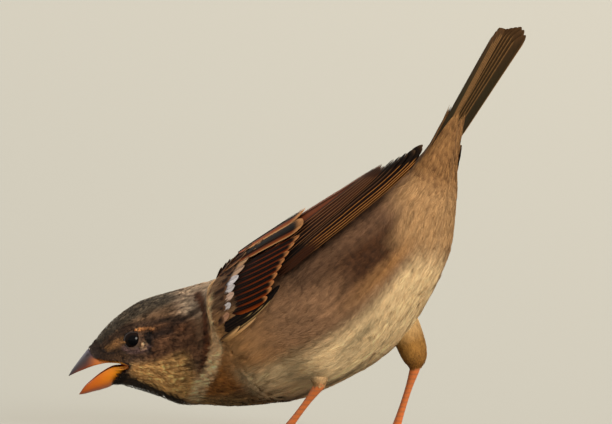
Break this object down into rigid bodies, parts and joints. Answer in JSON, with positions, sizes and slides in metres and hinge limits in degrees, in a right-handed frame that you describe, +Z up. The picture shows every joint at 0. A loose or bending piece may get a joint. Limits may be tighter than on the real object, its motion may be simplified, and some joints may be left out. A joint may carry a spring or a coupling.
{
  "type": "house sparrow",
  "caption": "Life-size house sparrow standing on both feet, head low and turned to its left, bill open, wings folded and tail raised; a still model.",
  "frame": {"origin": "bottom centre of the bird's bounding box, on the floor that its feet stand on", "axes": "-X the way the trunk points, -Y the bird's left side, +Z up"},
  "size_m": [0.126, 0.0476, 0.1086],
  "materials": {
    "plumage_head": "matt feathers, grey-brown",
    "plumage_body": "matt feathers, buff and brown",
    "bill_dark": "slate horn, orange at the base",
    "bill_pale": "orange-pink horn",
    "mouth": "moist dark red",
    "eye": "wet gloss, nearly black",
    "wing_primaries": "blackish brown flight feathers with pale edges",
    "wing_secondaries": "black-brown feathers with rufous edges",
    "wing_coverts": "black-centred feathers with rufous and white edges",
    "tail": "grey-brown tail feathers with pale edges",
    "leg": "orange scaled skin",
    "claw": "dark horn"
  },
  "bodies": {
    "root": {"bill_lower": "bill_pale", "bill_upper": "bill_dark", "claw_hallux_left": "claw", "claw_hallux_right": "claw", "claw_inner_left": "claw", "claw_inner_right": "claw", "claw_middle_left": "claw", "claw_middle_right": "claw", "claw_outer_left": "claw", "claw_outer_right": "claw", "eye_left": "eye", "eye_right": "eye", "foot_left": "leg", "foot_right": "leg", "head": "plumage_head", "neck": "plumage_head", "tail": "tail", "thigh_left": "plumage_body", "thigh_right": "plumage_body", "tongue": "mouth", "trunk": "plumage_body", "wing_left_coverts": "wing_coverts", "wing_left_primaries": "wing_primaries", "wing_left_secondaries": "wing_secondaries", "wing_right_coverts": "wing_coverts", "wing_right_primaries": "wing_primaries", "wing_right_secondaries": "wing_secondaries"}
  },
  "joints": []
}
